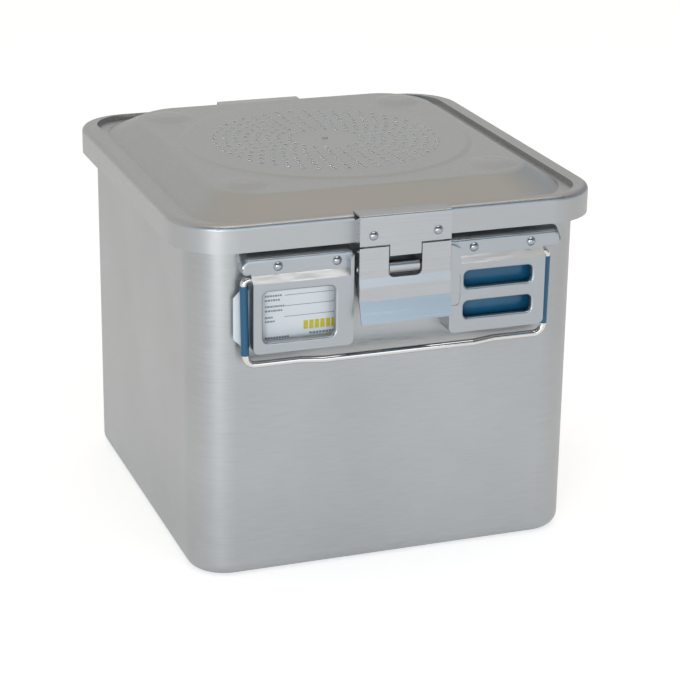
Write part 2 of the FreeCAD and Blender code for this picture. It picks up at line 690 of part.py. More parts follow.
def sleeve_solid(across, height, front_face, back_face):
    front = FreeCAD.Vector(across.value, -front_face.value, height.value)
    size = front_face.value - back_face.value
    towards_back = FreeCAD.Vector(0, 1, 0)
    outside = Part.makeCylinder(S.sleeve_radius.value, size, front, towards_back)
    hole = S.rivet_radius.value + S.rivet_clearance.value
    return outside.cut(Part.makeCylinder(hole, size, front, towards_back))


def make_rivets(end, degrees):
    inside_tub = WALL - S.tub_wall
    groups = {
        "plate_rivets": [rivet_solid(x, PLATE_RIVET_Z, STRIP, inside_tub) for x in PLATE_RIVETS],
        "plate_spacers": [sleeve_solid(x, PLATE_RIVET_Z, STRIP - S.plate_sheet, WALL)
                          for x in PLATE_RIVETS],
        "base_rivets": [rivet_solid(x, BASE_RIVET_Z, WALL + S.base_sheet, inside_tub)
                        for x in BASE_RIVETS],
        "catch_rivets": [rivet_solid(x, CATCH_RIVET_Z, CATCH_FACE, LID_HALF_Y - S.lid_sheet)
                         for x in CATCH_RIVETS],
        "catch_spacers": [sleeve_solid(x, CATCH_RIVET_Z, CATCH_BACK, LID_HALF_Y)
                          for x in CATCH_RIVETS],
    }
    for name, solids in groups.items():
        turn(add_solids(end + "_" + name, solids), degrees)


# Catch plate on the lid, and the lever with its base

def side_profile(body, offset, points):
    """A profile seen from the side: distance in front of the middle, then height."""
    sketch = plane_sketch(body, "YZ_Plane", offset)
    draw_outline(sketch, [(-length(out), height) for out, height in points])
    return sketch


def make_catch(end, degrees):
    body = new_body(end + "_catch")
    reach = LID_HALF_Y - S.end_rim + 0.35
    sheet = side_profile(body, -HALF_CATCH, [
        (CATCH_FACE, CATCH_FOOT), (CATCH_FACE, CATCH_TOP), (reach, CATCH_TOP),
        (reach, LID_RIM_TOP), (CATCH_BACK, LID_RIM_TOP), (CATCH_BACK, CATCH_FOOT)])
    pad(body, sheet, S.catch_width)
    round_edges(body, lambda edge: runs_along_x(edge) and at_height(edge, CATCH_TOP)
                and near(edge.BoundBox.YMin, -CATCH_FACE), S.catch_sheet * 1.5)
    for low_x in (-HALF_CATCH, HALF_CATCH - S.catch_sheet):
        wall = side_profile(body, low_x, [
            (CATCH_BACK + 0.2, CATCH_FOOT), (CATCH_BACK + 0.2, LID_RIM_TOP),
            (LID_HALF_Y, LID_RIM_TOP - S.lid_edge_radius), (LID_HALF_Y, CATCH_FOOT)])
        pad(body, wall, S.catch_sheet)
    ledge_inner = S.tongue_width / 2 + 1.1
    for low_x in (-HALF_CATCH, ledge_inner):
        ledge = side_profile(body, low_x, [
            (CATCH_BACK + 0.2, CATCH_FOOT), (CATCH_BACK + 0.2, LEDGE_TOP),
            (CATCH_BACK - S.ledge_reach, LEDGE_TOP), (CATCH_BACK - S.ledge_reach, CATCH_FOOT)])
        pad(body, ledge, HALF_CATCH - ledge_inner)
    tongue = plane_sketch(body, "XZ_Plane", CATCH_BACK)
    draw_box(tongue, -S.tongue_width / 2, CATCH_FOOT - S.tongue_drop,
             S.tongue_width / 2, CATCH_FOOT + 0.2)
    pad(body, tongue, S.catch_sheet)
    cut_rivet_holes(body, CATCH_RIVETS, CATCH_RIVET_Z, CATCH_FACE + 1, CATCH_BACK - 1)
    turn(body, degrees)
    return body


def make_lever(end, degrees):
    body = new_body(end + "_lever")
    sheet = S.catch_sheet
    bend = LEVER_TOP - S.lever_straight
    step = bend - S.lever_step
    flat = step - S.lever_flat
    foot = flat - S.tab_drop
    step_face = CATCH_FACE + S.lever_step_out
    tab_face = step_face + S.tab_flare
    front = side_profile(body, -HALF_CATCH, [
        (CATCH_FACE, LEVER_TOP), (CATCH_FACE, bend), (step_face, step), (step_face, flat),
        (tab_face, foot), (tab_face - sheet, foot), (step_face - sheet, flat),
        (step_face - sheet, step), (CATCH_BACK, bend), (CATCH_BACK, LEVER_TOP)])
    pad(body, front, S.catch_width)

    flange_back = CATCH_BACK - S.lever_flange
    for low_x in (-HALF_CATCH, HALF_CATCH - sheet):
        flange = side_profile(body, low_x, [
            (CATCH_BACK + 0.2, LEVER_TOP - 2), (flange_back + 2, LEVER_TOP - 2),
            (flange_back, LEVER_TOP - 4), (flange_back, step + 2),
            (step_face - sheet, flat - 2), (step_face - sheet + 0.2, flat - 2),
            (step_face - sheet + 0.2, step), (CATCH_BACK + 0.2, bend)])
        pad(body, flange, sheet)

    hook_back = HOOK_FACE - S.hook_sheet
    for low_x in (-S.hook_outer, S.hook_inner):
        fold = side_profile(body, low_x, [
            (CATCH_BACK + 0.2, LEVER_TOP - sheet), (CATCH_BACK + 0.2, LEVER_TOP),
            (HOOK_FACE, LEVER_TOP), (HOOK_FACE, NOSE_FOOT), (HOOK_FACE + S.hook_nose, NOSE_FOOT),
            (HOOK_FACE + S.hook_nose - 0.6, NOSE_TOP), (hook_back, NOSE_TOP),
            (hook_back, LEVER_TOP - sheet)])
        pad(body, fold, S.hook_outer - S.hook_inner)

    notch = plane_sketch(body, "XZ_Plane", CATCH_FACE + 1)
    draw_box(notch, -S.notch_width / 2, LEVER_TOP - S.notch_depth,
             S.notch_width / 2, LEVER_TOP + 1)
    pocket(body, notch, sheet + 2)
    round_edges(body, lambda edge: runs_along_y(edge) and edge.BoundBox.YMax < -PIVOT_Y.value
                and at_height(edge, LEVER_TOP - S.notch_depth), S.notch_radius)
    holes = plane_sketch(body, "YZ_Plane", HALF_CATCH + 1)
    draw_circle(holes, -PIVOT_Y, PIVOT_Z, S.pin_radius + S.pin_clearance)
    pocket(body, holes, S.catch_width + 2)
    turn(body, degrees)
    return body


def make_latch_base(end, degrees):
    """A plate on the tub's wall whose arm is rolled round the lever pin."""
    body = new_body(end + "_latch_base")
    half = S.barrel_width / 2
    barrel_top = PIVOT_Z + S.barrel_radius
    arm_foot = barrel_top - S.catch_sheet
    barrel = plane_sketch(body, "YZ_Plane", -half)
    draw_circle(barrel, -PIVOT_Y, PIVOT_Z, S.barrel_radius)
    pad(body, barrel, S.barrel_width)
    arm = side_profile(body, -half, [(PIVOT_Y, arm_foot), (PIVOT_Y, barrel_top),
                                     (WALL, barrel_top), (WALL, arm_foot)])
    pad(body, arm, S.barrel_width)
    plate = side_profile(body, -S.base_half, [
        (WALL + S.base_sheet, RIM_TOP - S.base_drop), (WALL + S.base_sheet, barrel_top),
        (WALL, barrel_top), (WALL, RIM_TOP - S.base_drop)])
    pad(body, plate, 2 * S.base_half)
    bore = plane_sketch(body, "YZ_Plane", half + 1)
    draw_circle(bore, -PIVOT_Y, PIVOT_Z, S.pin_radius + S.pin_clearance)
    pocket(body, bore, S.barrel_width + 2)
    cut_rivet_holes(body, BASE_RIVETS, BASE_RIVET_Z, WALL + S.base_sheet + 1, WALL - 1)
    turn(body, degrees)
    return body


def make_latch_pin(end, degrees):
    body = new_body(end + "_latch_pin")
    sketch = plane_sketch(body, "YZ_Plane", -HALF_CATCH - 0.7)
    draw_circle(sketch, -PIVOT_Y, PIVOT_Z, S.pin_radius)
    pad(body, sketch, S.catch_width + 1.4)
    round_edges(body, lambda edge: edge.BoundBox.XLength < 1e-6, S.pin_radius * 0.3)
    turn(body, degrees)
    return body


def make_latch_springs(end, degrees):
    """Two close-wound torsion springs on the pin, each with a leg on the latch base."""
    wire = S.spring_wire.value
    bore = S.spring_bore.value
    pivot = FreeCAD.Vector(0, -PIVOT_Y.value, PIVOT_Z.value)
    coils = int(S.spring_coils.value)
    start = S.spring_inner.value
    solids = []
    for side in (-1, 1):
        edges = [Part.makeLine(FreeCAD.Vector(0, bore, 0), FreeCAD.Vector(0, bore + wire / 2, 0))]
        for coil in range(coils):
            low = FreeCAD.Vector(coil * wire, bore + wire / 2, 0)
            top = FreeCAD.Vector((coil + 0.5) * wire, bore + wire, 0)
            high = FreeCAD.Vector((coil + 1) * wire, bore + wire / 2, 0)
            edges.append(Part.Arc(low, top, high).toShape())
        end_x = coils * wire
        edges.append(Part.makeLine(FreeCAD.Vector(end_x, bore + wire / 2, 0),
                                   FreeCAD.Vector(end_x, bore, 0)))
        edges.append(Part.makeLine(FreeCAD.Vector(end_x, bore, 0), FreeCAD.Vector(0, bore, 0)))
        coil_solid = Part.Face(Part.Wire(edges)).revolve(FreeCAD.Vector(), FreeCAD.Vector(1, 0, 0), 360)
        leg_foot = FreeCAD.Vector(end_x - wire / 2, bore + wire / 2, 0)
        fall = FreeCAD.Vector(0, PIVOT_Y.value - WALL.value - S.base_sheet.value - bore - wire,
                              -S.spring_leg.value)
        leg = Part.makeCylinder(wire / 2, fall.Length, leg_foot, fall)
        spring = coil_solid.fuse(leg)
        if side < 0:
            spring = spring.mirror(FreeCAD.Vector(), FreeCAD.Vector(1, 0, 0))
        spring.translate(pivot + FreeCAD.Vector(side * start, 0, 0))
        solids.append(spring)
    feature = add_solids(end + "_latch_springs", solids)
    turn(feature, degrees)
    return feature


# Label holders with their channels, card and tag

def make_holder(end, label, side, ear_reach, flank):
    """A pan of folded sheet: riveted strip, step, face, flanges and an ear outside."""
    body = new_body("%s_%s_holder" % (end, label))
    sheet = S.plate_sheet
    width = S.plate_outer - S.plate_inner
    low_x = S.plate_inner if side > 0 else -S.plate_outer
    high_x = low_x + width
    flange = RIM_TOP - S.flange_drop
    foot_back = WALL + S.foot_gap
    pan = side_profile(body, low_x, [
        (WALL, flange), (STRIP, STRIP_TOP), (STRIP, STRIP_FOOT), (FACE, FACE_TOP),
        (FACE, FACE_FOOT), (foot_back, FACE_FOOT), (WALL, FACE_FOOT + S.foot_gap)])
    pad(body, pan, width)

    ear_end = S.plate_outer + ear_reach
    ear = side_profile(body, S.plate_outer if side > 0 else -ear_end, [
        (WALL, flange), (STRIP, STRIP_TOP), (STRIP, STRIP_FOOT), (WALL, STRIP_FOOT)])
    pad(body, ear, ear_reach)
    for height, radius in ((STRIP_TOP, S.ear_radius), (STRIP_FOOT, S.ear_foot_radius)):
        round_edges(body, lambda edge: edge.BoundBox.YLength > 5 and near(edge.BoundBox.ZMin, height)
                    and near(side * edge.BoundBox.XMin, ear_end)
                    and near(side * edge.BoundBox.XMax, ear_end), radius)
    round_edges(body, lambda edge: runs_along_x(edge) and at_height(edge, STRIP_TOP), S.fold_radius)
    round_edges(body, lambda edge: runs_along_y(edge) and at_height(edge, FACE_FOOT),
                S.window_radius)

    inside = side_profile(body, high_x - sheet, [
        (WALL - 1, flange - sheet), (STRIP - sheet, STRIP_TOP - sheet),
        (STRIP - sheet, STRIP_FOOT - sheet / 2), (FACE - sheet, FACE_TOP - sheet / 2),
        (FACE - sheet, FACE_FOOT + sheet), (WALL - 1, FACE_FOOT + sheet)])
    pocket(body, inside, width - 2 * sheet)
    ear_inside = plane_sketch(body, "XZ_Plane", STRIP - sheet)
    inner_radius = S.ear_foot_radius - sheet
    half_ear = (ear_reach + inner_radius) / 2 + 1
    draw_rounded(ear_inside, half_ear, (STRIP_TOP - STRIP_FOOT) / 2 - sheet, inner_radius,
                 (side * (ear_end - sheet - half_ear), (STRIP_TOP + STRIP_FOOT) / 2))
    pocket(body, ear_inside, S.strip_reach)

    flank_end = S.plate_inner + flank
    flank_top = STRIP_TOP - 1
    edge = plane_sketch(body, "XZ_Plane", STRIP - sheet)
    draw_outline(edge, [(side * S.plate_inner, FACE_TOP - 1), (side * flank_end, FACE_TOP - 1),
                        (side * flank_end, flank_top - S.flank_fall), (side * S.plate_inner, flank_top)])
    pad(body, edge, FACE - STRIP + sheet)
    if flank.value > 3 * sheet.value:
        hollow = plane_sketch(body, "XZ_Plane", FACE - sheet)
        draw_outline(hollow, [
            (side * (S.plate_inner + sheet), FACE_TOP - 1), (side * (flank_end - sheet), FACE_TOP - 1),
            (side * (flank_end - sheet), flank_top - S.flank_fall - sheet),
            (side * (S.plate_inner + sheet), flank_top - sheet * 1.5)])
        pocket(body, hollow, FACE - STRIP + 0.1)

    hinge = plane_sketch(body, "YZ_Plane", (S.plate_outer if side > 0 else sheet - S.plate_outer) + 1)
    draw_circle(hinge, -HANDLE_Y, HANDLE_Z, S.wire_radius + S.wire_clearance)
    pocket(body, hinge, sheet + 2)
    rivets = PLATE_RIVETS[:2] if side < 0 else PLATE_RIVETS[2:]
    cut_rivet_holes(body, rivets, PLATE_RIVET_Z, STRIP + 1, STRIP - sheet - 1)
    return body


def press_opening(body, low_x, high_x, low_z, high_z, radius):
    """A rounded opening in the holder's face whose edges are pressed inwards."""
    sheet = S.plate_sheet
    half_x, half_z = (high_x - low_x) / 2, (high_z - low_z) / 2
    middle = (low_x + half_x, low_z + half_z)
    back = FACE - sheet - S.lip_depth
    lip = plane_sketch(body, "XZ_Plane", back)
    draw_rounded(lip, half_x + sheet, half_z + sheet, radius + sheet, middle)
    pad(body, lip, S.lip_depth + sheet / 2)
    hole = plane_sketch(body, "XZ_Plane", FACE)
    draw_rounded(hole, half_x, half_z, radius, middle)
    pocket(body, hole, sheet + S.lip_depth)
    inside_hole = (middle[0] - half_x - 0.01, middle[0] + half_x + 0.01)
    round_edges(body, lambda edge: near(edge.BoundBox.YMin, -FACE) and near(edge.BoundBox.YMax, -FACE)
                and edge.BoundBox.XMin > inside_hole[0].value and edge.BoundBox.XMax < inside_hole[1].value
                and edge.BoundBox.ZMin > (middle[1] - half_z - 0.01).value
                and edge.BoundBox.ZMax < (middle[1] + half_z + 0.01).value, S.lip_radius)


def make_card_holder(end, degrees):
    body = make_holder(end, "card", -1, S.card_ear, S.card_flank)
    press_opening(body, -S.window_outer, -S.window_inner, RIM_TOP - S.window_foot_drop,
                  RIM_TOP - S.window_top_drop, S.window_radius)
    # The card leaves through a slot in the outer flange
    slot = plane_sketch(body, "YZ_Plane", 1 - S.plate_outer + S.plate_sheet)
    draw_box(slot, -CARD_FACE - 1.2, CARD_FOOT - 1, S.card_thickness + 1 - CARD_FACE, CARD_TOP + 1)
    pocket(body, slot, S.plate_sheet + 2)
    turn(body, degrees)
    return body


def make_tag_holder(end, degrees):
    body = make_holder(end, "tag", 1, S.tag_ear, S.tag_flank)
    # A shallow recess for the thumb beside the latch
    recess = plane_sketch(body, "XZ_Plane", FACE)
    draw_rounded(recess, S.tag_flank, S.slot_height, S.slot_radius,
                 (S.plate_inner, RIM_TOP - S.upper_slot_drop - S.slot_height))
    pocket(body, recess, S.thumb_recess)
    for level in (0, 1):
        top = RIM_TOP - S.upper_slot_drop - level * S.slot_pitch
        press_opening(body, S.slot_inner, S.slot_outer, top - S.slot_height, top, S.slot_radius)
    turn(body, degrees)
    return body


def make_guide(end, degrees, side, label):
    """A channel that stands on the holder's foot flange and grips card or tag."""
    body = new_body("%s_%s_guide" % (end, label))
    sheet = S.guide_sheet
    back_face = CARD_FACE - S.card_thickness - S.guide_play
    lip_face = CARD_FACE + S.guide_play + sheet
    low_lip = CARD_FOOT - S.guide_play
    high_lip = CARD_TOP + S.guide_play
    low_x = S.guide_inner if side > 0 else -S.guide_outer
    profile = side_profile(body, low_x, [
        (back_face - sheet, FACE_FOOT + S.plate_sheet), (back_face - sheet, high_lip + sheet),
        (lip_face, high_lip + sheet), (lip_face, high_lip - S.guide_lip - S.guide_play),
        (lip_face - sheet, high_lip - S.guide_lip - S.guide_play), (lip_face - sheet, high_lip),
        (back_face, high_lip), (back_face, low_lip), (lip_face - sheet, low_lip),
        (lip_face - sheet, low_lip + S.guide_lip + S.guide_play),
        (lip_face, low_lip + S.guide_lip + S.guide_play), (lip_face, low_lip - sheet),
        (back_face, low_lip - sheet), (back_face, FACE_FOOT + S.plate_sheet)])
    pad(body, profile, S.guide_outer - S.guide_inner)
    turn(body, degrees)
    return body


def make_card():
    body = new_body("front_card")
    sketch = plane_sketch(body, "XZ_Plane", CARD_FACE - S.card_thickness)
    draw_outline(sketch, [
        (-S.card_inner, CARD_FOOT), (-S.card_inner, CARD_TOP),
        (S.card_chamfer - S.card_outer, CARD_TOP), (-S.card_outer, CARD_TOP - S.card_chamfer),
        (-S.card_outer, CARD_FOOT + S.card_chamfer), (S.card_chamfer - S.card_outer, CARD_FOOT)])
    pad(body, sketch, S.card_thickness)
    return body


def make_tag():
    body = new_body("front_tag")
    sketch = plane_sketch(body, "XZ_Plane", CARD_FACE + 0.2 - S.tag_thickness)
    draw_box(sketch, S.guide_inner + 0.5, CARD_FOOT, S.guide_outer - 0.5, CARD_TOP)
    pad(body, sketch, S.tag_thickness)
    return body


# Wire handle

def bent_wire(points, radii):
    """A path of straight runs whose corners are tangent arcs of the given radii."""
    edges = []
    start = points[0]
    for corner, after, radius in zip(points[1:-1], points[2:], radii):
        before = (start - corner).normalize()
        beyond = (after - corner).normalize()
        half_angle = before.getAngle(beyond) / 2
        run = radius / math.tan(half_angle)
        middle = corner + (before + beyond).normalize() * (radius / math.sin(half_angle) - radius)
        edges.append(Part.makeLine(start, corner + before * run))
        edges.append(Part.Arc(corner + before * run, middle, corner + beyond * run).toShape())
        start = corner + beyond * run
    edges.append(Part.makeLine(start, points[-1]))
    return Part.Wire(edges)


def make_handle(end, degrees):
    half, y, top = HANDLE_HALF.value, -HANDLE_Y.value, HANDLE_Z.value
    bar, bar_y = top - S.handle_drop.value, y - S.handle_lean.value
    stub, grip_y = (S.plate_outer - S.pivot_stub).value, bar_y - S.grip_jog.value
    inner, outer = S.grip_inner.value, S.grip_outer.value
    foot = half - S.handle_taper.value
    left = [(-stub, y, top), (-half, y, top), (-foot, bar_y, bar), (-outer, bar_y, bar),
            (-inner, grip_y, bar)]
    right = [(-x, depth, height) for x, depth, height in reversed(left)]
    points = [FreeCAD.Vector(*place) for place in left + right]
    bends = [S.pivot_bend.value, S.handle_bend.value] + [S.grip_bend.value] * 2
    path = bent_wire(points, bends + bends[::-1])
    ring = Part.Wire([Part.makeCircle(S.wire_radius.value, points[0], FreeCAD.Vector(1, 0, 0))])
    wire = path.makePipeShell([ring], True, True)
    turn(add_solids(end + "_handle", [wire]), degrees)


def make_handle_tubes(end, degrees):
    """Thin coloured sleeves on the two legs of the handle."""
    solids = []
    for side in (-1, 1):
        leg = FreeCAD.Vector(-side * S.handle_taper.value, -S.handle_lean.value, -S.handle_drop.value)
        size = leg.Length - (S.tube_top_drop + S.tube_gap + S.handle_bend).value
        along = leg.normalize()
        pivot = FreeCAD.Vector(side * HANDLE_HALF.value, -HANDLE_Y.value, HANDLE_Z.value)
        top = pivot + along * S.tube_top_drop.value
        outside = Part.makeCylinder(S.tube_radius.value, size, top, along)
        solids.append(outside.cut(Part.makeCylinder(S.wire_radius.value, size, top, along)))
    turn(add_solids(end + "_handle_sleeves", solids), degrees)


make_tub()
make_lid()
make_gasket()
make_filter_post()
make_filter()
make_retainer()
make_knob()
for end_name, angle in ENDS:
    make_catch(end_name, angle)
    make_lever(end_name, angle)
    make_latch_base(end_name, angle)
    make_latch_pin(end_name, angle)
    make_latch_springs(end_name, angle)
    make_card_holder(end_name, angle)
    make_tag_holder(end_name, angle)
    make_guide(end_name, angle, -1, "card")
    make_guide(end_name, angle, 1, "tag")
    make_rivets(end_name, angle)
    make_handle(end_name, angle)
    make_handle_tubes(end_name, angle)
make_card()
make_tag()
doc.recompute()

# Every object must be sound before anything is written
failed = [item.Label for item in doc.Objects if "Invalid" in item.State or "Error" in item.State]
if failed:
    raise RuntimeError("not built: " + ", ".join(failed))

WORKPIECES = ("lid_pressing", "lid_holes")
nodes = [item for item in doc.Objects if item.Label not in WORKPIECES
         and item.TypeId in ("PartDesign::Body", "Part::Feature", "Part::Cut")]
os.makedirs("parts", exist_ok=True)
for node in nodes:
    shape = node.Shape
    if shape.isNull() or not shape.isValid():
        raise RuntimeError("%s has no sound shape" % node.Label)
    shape.exportStep(os.path.join("parts", node.Label + ".step"))
    box = shape.BoundBox
    print("%-24s solids %d  volume %9.1f  x %7.1f %7.1f  y %7.1f %7.1f  z %6.1f %6.1f" % (
        node.Label, len(shape.Solids), shape.Volume, box.XMin, box.XMax,
        box.YMin, box.YMax, box.ZMin, box.ZMax))
print(len(nodes), "nodes")
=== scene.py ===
# %% [markdown]
# # A sterilization container in satin aluminium
#
# The solids come from CAD as a finished frame. This file dresses them: it gives each
# metal, silicone, paper and plastic its finish, adds the fine pieces that are too small
# for the solids, and sets the camera and the light. Every cell does one step.

import math

import bmesh
import bpy
from mathutils import Matrix, Vector


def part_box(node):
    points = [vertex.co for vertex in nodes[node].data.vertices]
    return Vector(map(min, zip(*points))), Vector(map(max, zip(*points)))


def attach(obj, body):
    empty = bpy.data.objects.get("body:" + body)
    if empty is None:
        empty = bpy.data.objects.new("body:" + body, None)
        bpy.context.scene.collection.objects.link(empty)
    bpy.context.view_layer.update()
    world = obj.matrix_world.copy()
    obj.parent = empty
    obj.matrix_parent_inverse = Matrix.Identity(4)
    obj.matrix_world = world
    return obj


MM = 0.001
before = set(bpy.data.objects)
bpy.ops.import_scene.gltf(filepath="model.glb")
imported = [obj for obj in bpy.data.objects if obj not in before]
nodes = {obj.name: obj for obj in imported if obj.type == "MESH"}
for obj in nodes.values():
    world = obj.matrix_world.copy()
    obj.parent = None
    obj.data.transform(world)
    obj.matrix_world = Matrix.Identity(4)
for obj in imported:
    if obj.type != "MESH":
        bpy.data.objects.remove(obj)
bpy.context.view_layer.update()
print("nodes from CAD:", len(nodes))

# %% [markdown]
# ## Camera
#
# A photograph of a box tells where its camera stood: upright edges lean together a
# little, and the long edges meet far away. Those lines were measured once, and the
# camera below stands where they point to. A long lens from about 1.6 metres keeps the
# box nearly free of perspective, as product photographs do.

# %% Camera
AIM = Vector((13.6, 0.0, 110.15)) * MM
DISTANCE = 1651.66 * MM
AZIMUTH, ELEVATION, ROLL = (math.radians(angle) for angle in (-20.0, 20.05, 0.77))
FOCAL_PIXELS, FRAME_PIXELS, SENSOR = 2210.0, 680.0, 36.0

back = Vector((math.sin(AZIMUTH) * math.cos(ELEVATION),
               -math.cos(AZIMUTH) * math.cos(ELEVATION), math.sin(ELEVATION)))
level = Vector((math.cos(AZIMUTH), math.sin(AZIMUTH), 0.0))
upward = back.cross(level)
right = level * math.cos(ROLL) + upward * math.sin(ROLL)
top = upward * math.cos(ROLL) - level * math.sin(ROLL)

camera_data = bpy.data.cameras.new("camera")
camera_data.sensor_width = SENSOR
camera_data.lens = FOCAL_PIXELS / FRAME_PIXELS * SENSOR
camera_data.clip_end = 50.0
camera = bpy.data.objects.new("camera", camera_data)
bpy.context.scene.collection.objects.link(camera)
camera.matrix_world = Matrix.Translation(AIM + back * DISTANCE) @ Matrix(
    (right, top, back)).transposed().to_4x4()
bpy.context.scene.camera = camera
bpy.context.scene.view_settings.view_transform = "Standard"
print("lens in mm:", round(camera_data.lens, 1))

# %% [markdown]
# ## A helper for finishes
#
# Each finish is a small node tree. The constant numbers, such as how metallic it is,
# sit on the shader's own sockets. Only what varies over the surface, such as brushing
# or cloudiness, comes from texture nodes on Object coordinates, in metres.

# %% Helpers for finishes
TEXTURE_MIDDLE = (0.3, 0.7)
ENDS = ("front", "rear")


class Finish:
    """A material with one Principled shader, and short calls to wire textures into it."""

    def __init__(self, name, color, metallic=0.0, roughness=0.5):
        self.material = bpy.data.materials.new(name)
        self.material.use_nodes = True
        self.tree = self.material.node_tree
        self.shader = self.tree.nodes["Principled BSDF"]
        self.shader.inputs["Base Color"].default_value = (*color, 1.0)
        self.shader.inputs["Metallic"].default_value = metallic
        self.shader.inputs["Roughness"].default_value = roughness
        self.place = self.tree.nodes.new("ShaderNodeTexCoord")
        self.material.diffuse_color = (*color, 1.0)

    def link(self, source, target):
        self.tree.links.new(source, target)

    def noise(self, stretch=(1, 1, 1), scale=100.0, detail=3.0):
        """A noise whose grain is stretched along the axes with the smallest numbers."""
        mapping = self.tree.nodes.new("ShaderNodeMapping")
        mapping.inputs["Scale"].default_value = stretch
        texture = self.tree.nodes.new("ShaderNodeTexNoise")
        texture.inputs["Scale"].default_value = scale
        texture.inputs["Detail"].default_value = detail
        self.link(self.place.outputs["Object"], mapping.inputs["Vector"])
        self.link(mapping.outputs["Vector"], texture.inputs["Vector"])
        return texture.outputs["Fac"]

    def spread(self, source, low, high):
        """Maps a texture's middle range to a range of numbers."""
        node = self.tree.nodes.new("ShaderNodeMapRange")
        for socket, value in (("From Min", TEXTURE_MIDDLE[0]), ("From Max", TEXTURE_MIDDLE[1]),
                              ("To Min", low), ("To Max", high)):
            node.inputs[socket].default_value = value
        self.link(source, node.inputs["Value"])
        return node.outputs["Result"]

    def mean(self, first, second):
        node = self.tree.nodes.new("ShaderNodeMix")
        node.inputs["Factor"].default_value = 0.5
        self.link(first, node.inputs["A"])
        self.link(second, node.inputs["B"])
        return node.outputs["Result"]

    def vary_color(self, factor, first, second):
        node = self.tree.nodes.new("ShaderNodeMix")
        node.data_type = "RGBA"
        node.inputs["A"].default_value = (*first, 1.0)
        node.inputs["B"].default_value = (*second, 1.0)
        self.link(factor, node.inputs["Factor"])
        self.link(node.outputs["Result"], self.shader.inputs["Base Color"])

    def vary_roughness(self, source, low, high):
        self.link(self.spread(source, low, high), self.shader.inputs["Roughness"])

    def bump(self, height, strength, distance):
        node = self.tree.nodes.new("ShaderNodeBump")
        node.inputs["Strength"].default_value = strength
        node.inputs["Distance"].default_value = distance
        self.link(height, node.inputs["Height"])
        self.link(node.outputs["Normal"], self.shader.inputs["Normal"])

    def paint(self, *names):
        """Gives this finish to CAD nodes."""
        for name in names:
            mesh = nodes[name].data
            mesh.materials.clear()
            mesh.materials.append(self.material)
        print(self.material.name, "on nodes:", len(names))


def shade(color, factor):
    return tuple(channel * factor for channel in color)


def both_ends(*names):
    return ["%s_%s" % (end, name) for end in ENDS for name in names]


print("helpers for finishes are ready")

# %% [markdown]
# ## Anodised aluminium
#
# Tub, lid and label holders are drawn or folded aluminium sheet, brushed and then
# anodised. The surface is a metal with a wide, soft gloss. Its grain is fine: strokes a
# millimetre apart that run round the box, and a slow cloudiness from the anodising bath.
# The strokes change the colour a little, the gloss, and the slope of the surface, so that
# they show in plain light as well as in a highlight.

# %% Finish of the aluminium sheets
SATIN = (0.445, 0.456, 0.464)
HOLDER_GREY = (0.42, 0.445, 0.47)
ALONG_WALLS = (0.08, 0.08, 1.0)
ALL_WAYS = (0.6, 0.6, 0.6)
STROKE_SCALE, CLOUD_SCALE = 700.0, 9.0
GLOSS_SWING = 0.07
STROKE_BUMP = 0.5


def brushed(name, color, grain, roughness=0.42, contrast=0.10, relief=0.00011):
    """A metal with strokes along its grain and slow clouds."""
    finish = Finish(name, color, metallic=1.0, roughness=roughness)
    strokes = finish.noise(stretch=grain, scale=STROKE_SCALE, detail=4.0)
    clouds = finish.noise(scale=CLOUD_SCALE, detail=2.0)
    tone = finish.mean(finish.spread(clouds, 0.0, 1.0), finish.spread(strokes, 0.0, 1.0))
    finish.vary_color(tone, shade(color, 1 - contrast), shade(color, 1 + contrast))
    finish.vary_roughness(strokes, roughness - GLOSS_SWING, roughness + GLOSS_SWING)
    finish.bump(strokes, STROKE_BUMP, relief)
    return finish


tub_finish = brushed("tub_aluminium", SATIN, ALONG_WALLS)
tub_finish.paint("tub")
lid_finish = brushed("lid_aluminium", SATIN, ALL_WAYS, 0.4, contrast=0.03, relief=0.00002)
lid_finish.paint("lid")
holder_finish = brushed("holder_aluminium", HOLDER_GREY, ALONG_WALLS, 0.34, contrast=0.03)
holder_finish.paint(*both_ends("card_holder", "tag_holder"))
plain_finish = brushed("plain_aluminium", shade(SATIN, 0.9), ALONG_WALLS, 0.45, contrast=0.06)
plain_finish.paint(*both_ends("card_guide", "tag_guide", "plate_spacers", "catch_spacers"),
                   "filter_post")

# %% [markdown]
# ## Brushed and polished steel
#
# The latches are stainless sheet with long horizontal strokes from the brushing belt.
# The handle's wire and the springs are polished: nearly a mirror, so they draw thin dark
# and bright lines from whatever stands around them. Rivets and hinge pins are a little
# darker and duller, as they come from the press.

# %% Finish of the steel pieces
LATCH_GREY, LATCH_GRAIN = (0.46, 0.472, 0.49), (0.02, 0.5, 1.0)

latch_finish = brushed("latch_steel", LATCH_GREY, LATCH_GRAIN, 0.33, contrast=0.08,
                       relief=0.00006)
latch_finish.paint(*both_ends("catch", "lever", "latch_base"), "filter_retainer")

wire_finish = Finish("polished_steel", (0.70, 0.68, 0.66), metallic=1.0, roughness=0.1)
wire_finish.vary_roughness(wire_finish.noise(scale=300.0), 0.05, 0.12)
wire_finish.paint(*both_ends("handle", "latch_springs"))

rivet_finish = Finish("rivet_steel", (0.40, 0.42, 0.45), metallic=1.0, roughness=0.2)
rivet_finish.vary_roughness(rivet_finish.noise(scale=900.0), 0.15, 0.27)
rivet_finish.paint(*both_ends("plate_rivets", "base_rivets", "catch_rivets", "latch_pin"))

# %% [markdown]
# ## Silicone, plastic and paper
#
# The handle's legs wear thin blue sleeves, the lid a grey seal. The right holder shows a
# blue plastic tag and the left one a paper card. None of them is a metal, so each has one
# colour of its own and a fine relief: matt skin on silicone, a pressed face on the tag,
# fibres on paper.

# %% Finish of the soft and coloured pieces
BLUE = (0.012, 0.11, 0.215)

